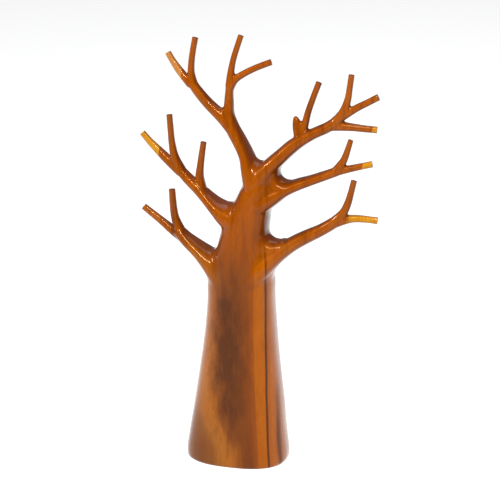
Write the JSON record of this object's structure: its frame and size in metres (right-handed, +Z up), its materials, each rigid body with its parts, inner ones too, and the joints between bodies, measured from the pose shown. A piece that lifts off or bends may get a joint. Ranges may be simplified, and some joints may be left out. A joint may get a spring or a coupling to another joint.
{
  "type": "carved wooden tree ornament",
  "caption": "Free-standing bare tree carved from edge-glued wood: thick flat-footed trunk, limbs and twigs spread in one plane, lacquered.",
  "frame": {"origin": "middle of the trunk's flat foot, on the surface it stands on", "axes": "+Z up the trunk, +X to the right across the crown as seen from the front, -Y out of the front"},
  "size_m": [0.2468, 0.08, 0.4502],
  "materials": {
    "block": "clear lacquer over red-brown cedar-like wood with a dark heart",
    "left_inner_board": "clear lacquer over red-brown wood",
    "left_outer_board": "clear lacquer over pale yellow-brown wood",
    "right_inner_board": "clear lacquer over red-brown wood",
    "right_outer_board": "clear lacquer over pale yellow-brown wood"
  },
  "bodies": {
    "root": {"trunk_block": "block", "top_left_tip": "left_inner_board", "middle_left_arm": "left_inner_board", "lower_left_arm": "left_inner_board", "middle_left_tip": "left_outer_board", "lower_left_tip": "left_outer_board", "upper_right_arm": "right_inner_board", "middle_right_arm": "right_inner_board", "lower_right_arm": "right_inner_board", "upper_right_tip": "right_outer_board", "middle_right_tip": "right_outer_board", "lower_right_tip": "right_outer_board"}
  },
  "joints": []
}
